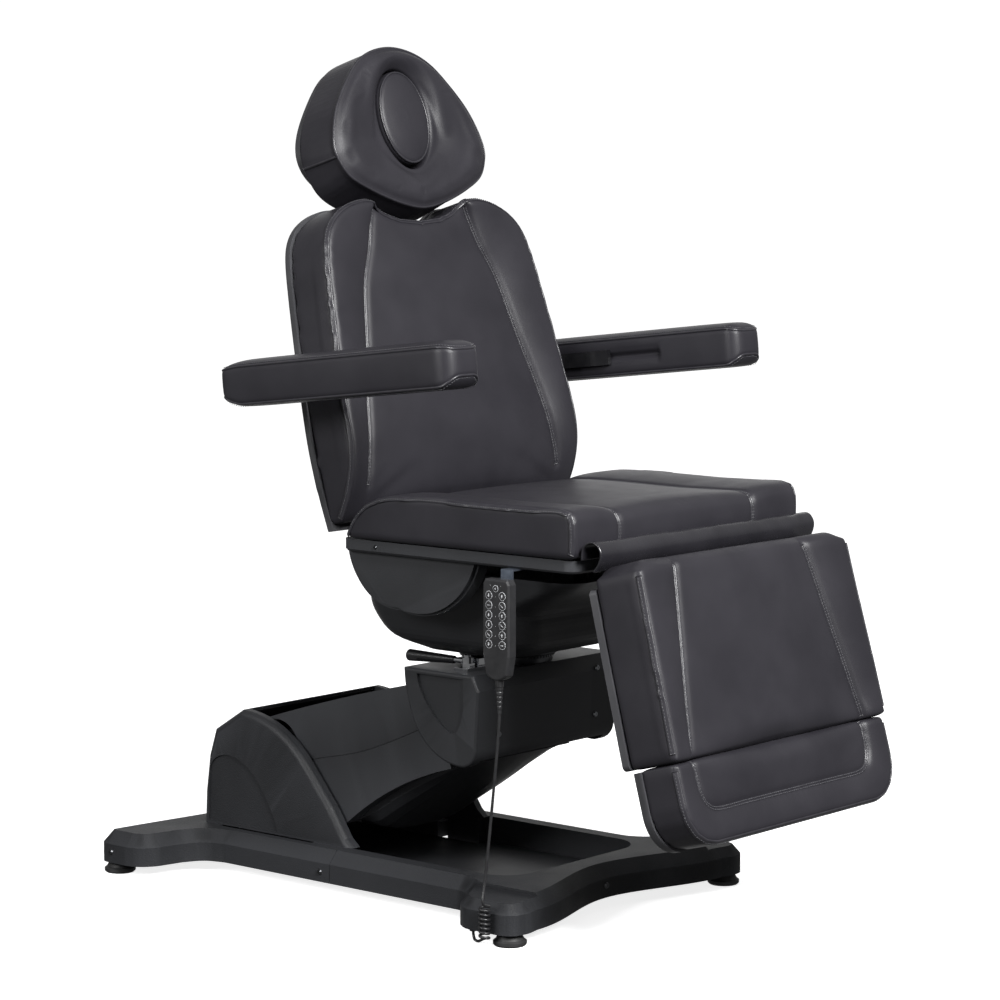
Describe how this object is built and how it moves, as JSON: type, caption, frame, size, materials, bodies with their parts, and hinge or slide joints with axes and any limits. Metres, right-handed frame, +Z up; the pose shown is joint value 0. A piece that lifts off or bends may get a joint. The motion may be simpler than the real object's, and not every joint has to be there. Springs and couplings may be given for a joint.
{
  "type": "facial treatment bed",
  "caption": "Powered reclining treatment bed set as a chair: lift base, turntable, tilting seat, backrest with headrest, folding armrests, leg and foot rest, wired handset.",
  "frame": {"origin": "on the floor, at the middle of the bed's width and of its length as set up for sitting", "axes": "+Z up, the sitter faces -Y, +X is the sitter's left; the left and right sides mirror each other across the YZ plane except for the handset, its hook and cord and the lock lever"},
  "size_m": [0.88, 1.3339, 1.5282],
  "materials": {
    "painted_steel": "satin",
    "bright_steel": "polished",
    "steel": "satin",
    "hook_steel": "satin",
    "black_cover": "matte",
    "black_foot": "matte",
    "motor_grey": "matte",
    "black_upholstery": "satin",
    "panel_board": "matte",
    "handset_black": "matte",
    "key_grey": "matte",
    "cord_black": "satin"
  },
  "bodies": {
    "base": {"base_frame": "painted_steel", "base_front_cover": "black_cover", "base_rear_cover": "black_cover", "base_pan": "black_cover", "levelling_feet": "black_foot", "base_screws": "bright_steel", "lift_housing": "black_cover", "power_inlet": "black_cover", "control_box": "motor_grey", "pivot_brackets": "painted_steel", "lift_shafts": "steel", "cord_gland": "black_cover", "cord_tail": "cord_black", "curly_cord": "cord_black", "handset_lead": "cord_black"},
    "lift_arm": {"arm_bars": "painted_steel", "arm_cover": "black_cover", "arm_belly": "black_cover"},
    "lift_link": {"link_bars": "painted_steel"},
    "lift_head": {"head_frame": "painted_steel", "head_shell": "black_cover", "head_caps": "black_cover", "head_screws": "bright_steel", "ring_lower": "steel", "lever_clamp": "bright_steel"},
    "lock_lever": {"lever_hub": "bright_steel", "lever_handle": "black_cover"},
    "turntable": {"ring_upper": "steel", "swivel_bolts": "bright_steel", "under_shell": "black_cover", "tilt_pedestal": "painted_steel"},
    "seat": {"seat_frame": "painted_steel", "hinge_pins": "steel", "seat_tray": "black_cover", "tray_screws": "bright_steel", "seat_cushion": "black_upholstery", "gap_flap": "black_upholstery", "handset_hook": "hook_steel", "seat_motors": "motor_grey"},
    "backrest": {"back_frame": "painted_steel", "back_board": "panel_board", "back_cushion": "black_upholstery", "armrest_brackets": "painted_steel"},
    "headrest_carrier": {"headrest_posts": "steel"},
    "headrest": {"headrest_board": "panel_board", "headrest_cushion": "black_upholstery"},
    "face_pillow": {"face_pillow": "black_upholstery"},
    "armrest_hinge_right": {"armrest_slider_right": "steel"},
    "armrest_right": {"armrest_pad_right": "black_upholstery"},
    "armrest_hinge_left": {"armrest_slider_left": "steel"},
    "armrest_left": {"armrest_pad_left": "black_upholstery"},
    "leg_rest": {"leg_frame": "painted_steel", "leg_board": "panel_board", "leg_cushion": "black_upholstery"},
    "foot_rest": {"foot_slide": "painted_steel", "foot_board": "panel_board", "foot_cushion": "black_upholstery"},
    "handset": {"handset_body": "handset_black", "strain_relief": "cord_black"},
    "handset_keypad": {"handset_keys": "key_grey"}
  },
  "joints": [
    {"name": "height", "type": "hinge", "parent": "base", "child": "lift_arm", "pos_m": [0, 0.402, 0.236], "axis": [-1, 0, 0], "range_deg": [-13, 28], "deforming": ["handset_lead"]},
    {"name": "height_link", "type": "hinge", "parent": "base", "child": "lift_link", "pos_m": [0, 0.422, 0.181], "axis": [-1, 0, 0], "range_deg": [-13, 28]},
    {"name": "height_level", "type": "hinge", "parent": "lift_arm", "child": "lift_head", "pos_m": [0, -0.03057, 0.36004], "axis": [-1, 0, 0], "range_deg": [-28, 13]},
    {"name": "turntable_lock", "type": "hinge", "parent": "lift_head", "child": "lock_lever", "pos_m": [-0.15, -0.052, 0.443], "axis": [0, 0, 1], "range_deg": [0, 75]},
    {"name": "rotation", "type": "hinge", "parent": "lift_head", "child": "turntable", "pos_m": [0, -0.016, 0.441], "axis": [0, 0, 1], "range_deg": [-120, 120]},
    {"name": "seat_tilt", "type": "hinge", "parent": "turntable", "child": "seat", "pos_m": [0, 0.07, 0.6], "axis": [-1, 0, 0], "range_deg": [0, 12]},
    {"name": "back_recline", "type": "hinge", "parent": "seat", "child": "backrest", "pos_m": [0, 0.11, 0.65], "axis": [-1, 0, 0], "range_deg": [0, 70]},
    {"name": "headrest_height", "type": "slide", "parent": "backrest", "child": "headrest_carrier", "axis": [0, 0.2639, 0.9646], "range_m": [0, 0.06]},
    {"name": "headrest_tilt", "type": "hinge", "parent": "headrest_carrier", "child": "headrest", "pos_m": [0, 0.29831, 1.22783], "axis": [-1, 0, 0], "range_deg": [-8, 30]},
    {"name": "face_pillow_pull", "type": "slide", "parent": "headrest", "child": "face_pillow", "axis": [0, -0.9646, 0.2639], "range_m": [0, 0.08]},
    {"name": "armrest_fold_right", "type": "hinge", "parent": "backrest", "child": "armrest_hinge_right", "pos_m": [0, 0.17243, 0.93748], "axis": [-1, 0, 0], "range_deg": [-15, 80]},
    {"name": "armrest_slide_right", "type": "slide", "parent": "armrest_hinge_right", "child": "armrest_right", "axis": [0, -0.9942, 0.108], "range_m": [0, 0.06]},
    {"name": "armrest_fold_left", "type": "hinge", "parent": "backrest", "child": "armrest_hinge_left", "pos_m": [0, 0.17243, 0.93748], "axis": [-1, 0, 0], "range_deg": [-15, 80]},
    {"name": "armrest_slide_left", "type": "slide", "parent": "armrest_hinge_left", "child": "armrest_left", "axis": [0, -0.9942, 0.108], "range_m": [0, 0.06]},
    {"name": "leg_raise", "type": "hinge", "parent": "seat", "child": "leg_rest", "pos_m": [0, -0.435, 0.637], "axis": [-1, 0, 0], "range_deg": [-8, 75], "deforming": ["gap_flap"]},
    {"name": "foot_extension", "type": "slide", "parent": "leg_rest", "child": "foot_rest", "axis": [0, -0.2672, -0.9636], "range_m": [0, 0.14]},
    {"name": "handset_unhook", "type": "slide", "parent": "seat", "child": "handset", "axis": [0, 0, 1], "range_m": [0, 0.025]},
    {"name": "handset_key_press", "type": "slide", "parent": "handset", "child": "handset_keypad", "axis": [1, 0, 0], "range_m": [0, 0.0006], "stiffness_N_per_m": 1500}
  ],
  "couplings": [
    {"joint": "height_link", "follows": "height", "ratio": 1},
    {"joint": "height_level", "follows": "height", "ratio": -1}
  ]
}
